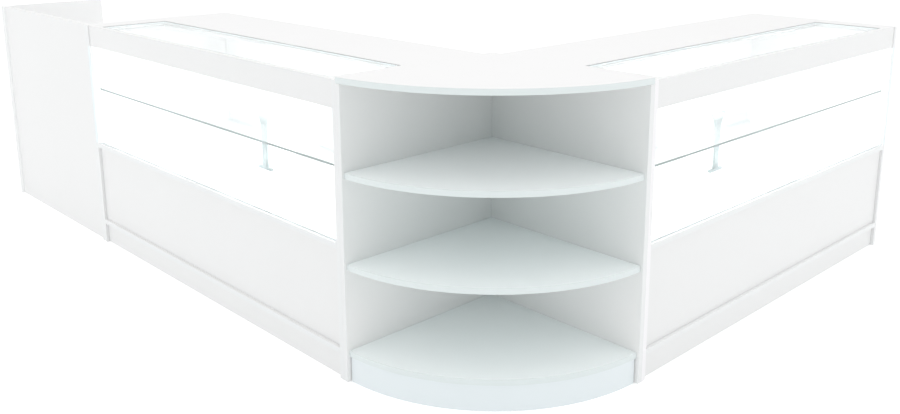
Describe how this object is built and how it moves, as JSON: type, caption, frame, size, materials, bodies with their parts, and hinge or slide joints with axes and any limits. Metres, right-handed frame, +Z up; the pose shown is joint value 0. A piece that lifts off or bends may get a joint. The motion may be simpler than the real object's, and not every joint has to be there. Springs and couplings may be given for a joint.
{
  "type": "shop counter",
  "caption": "L-shaped modular shop counter: two lit glass display counters, a quarter-round open shelf corner and a till desk.",
  "frame": {"origin": "on the floor, at the middle of the rectangle that the L-shaped counter fits in", "axes": "+Z up; the right counter runs along +X and the left counter and till desk along +Y, both away from the corner unit; customers stand on the -X and -Y sides"},
  "size_m": [2.248, 3.188, 0.909],
  "materials": {
    "white_laminate": "white melamine facing, fine matt",
    "door_panel": "white lacquered fibreboard, satin",
    "clear_glass": "toughened float glass, polished edges",
    "clear_acrylic": "clear acrylic, polished",
    "satin_aluminium": "satin anodised",
    "lit_diffuser": "opal, lit from behind",
    "driver_case": "fine texture",
    "nickel_steel": "nickel plated"
  },
  "bodies": {
    "counter": {"corner_bottom_board": "white_laminate", "corner_left_panel": "white_laminate", "corner_lower_shelf": "white_laminate", "corner_plinth": "white_laminate", "corner_right_panel": "white_laminate", "corner_top": "white_laminate", "corner_upper_shelf": "white_laminate", "left_base_front_panel": "white_laminate", "left_bottom_board": "white_laminate", "left_deck_board": "white_laminate", "left_front_fascia": "white_laminate", "left_front_glass": "clear_glass", "left_front_plinth": "white_laminate", "left_glass_shelf": "clear_glass", "left_inner_end_panel": "white_laminate", "left_led_diffuser": "lit_diffuser", "left_led_driver": "driver_case", "left_led_profile": "satin_aluminium", "left_lower_door_track": "satin_aluminium", "left_outer_end_panel": "white_laminate", "left_rear_plinth": "white_laminate", "left_rear_rail": "white_laminate", "left_shelf_support": "clear_acrylic", "left_storage_divider": "white_laminate", "left_storage_shelves": "white_laminate", "left_top_board": "white_laminate", "left_top_glass": "clear_glass", "left_upper_door_track": "satin_aluminium", "right_base_front_panel": "white_laminate", "right_bottom_board": "white_laminate", "right_deck_board": "white_laminate", "right_front_fascia": "white_laminate", "right_front_glass": "clear_glass", "right_front_plinth": "white_laminate", "right_glass_shelf": "clear_glass", "right_inner_end_panel": "white_laminate", "right_led_diffuser": "lit_diffuser", "right_led_driver": "driver_case", "right_led_profile": "satin_aluminium", "right_lower_door_track": "satin_aluminium", "right_outer_end_panel": "white_laminate", "right_rear_plinth": "white_laminate", "right_rear_rail": "white_laminate", "right_shelf_support": "clear_acrylic", "right_storage_divider": "white_laminate", "right_storage_shelves": "white_laminate", "right_top_board": "white_laminate", "right_top_glass": "clear_glass", "right_upper_door_track": "satin_aluminium", "shelf_pins": "nickel_steel", "till_bottom_board": "white_laminate", "till_deck": "white_laminate", "till_front_panel": "white_laminate", "till_inner_side": "white_laminate", "till_outer_side": "white_laminate", "unit_screws": "nickel_steel"},
    "left_outer_door": {"left_outer_door": "door_panel"},
    "left_inner_door": {"left_inner_door": "door_panel"},
    "right_outer_door": {"right_outer_door": "door_panel"},
    "right_inner_door": {"right_inner_door": "door_panel"}
  },
  "joints": [
    {"name": "left_outer_door_slide", "type": "slide", "parent": "counter", "child": "left_outer_door", "axis": [0, -1, 0], "range_m": [0, 0.74]},
    {"name": "left_inner_door_slide", "type": "slide", "parent": "counter", "child": "left_inner_door", "axis": [0, 1, 0], "range_m": [0, 0.74]},
    {"name": "right_outer_door_slide", "type": "slide", "parent": "counter", "child": "right_outer_door", "axis": [-1, 0, 0], "range_m": [0, 0.74]},
    {"name": "right_inner_door_slide", "type": "slide", "parent": "counter", "child": "right_inner_door", "axis": [1, 0, 0], "range_m": [0, 0.74]}
  ]
}
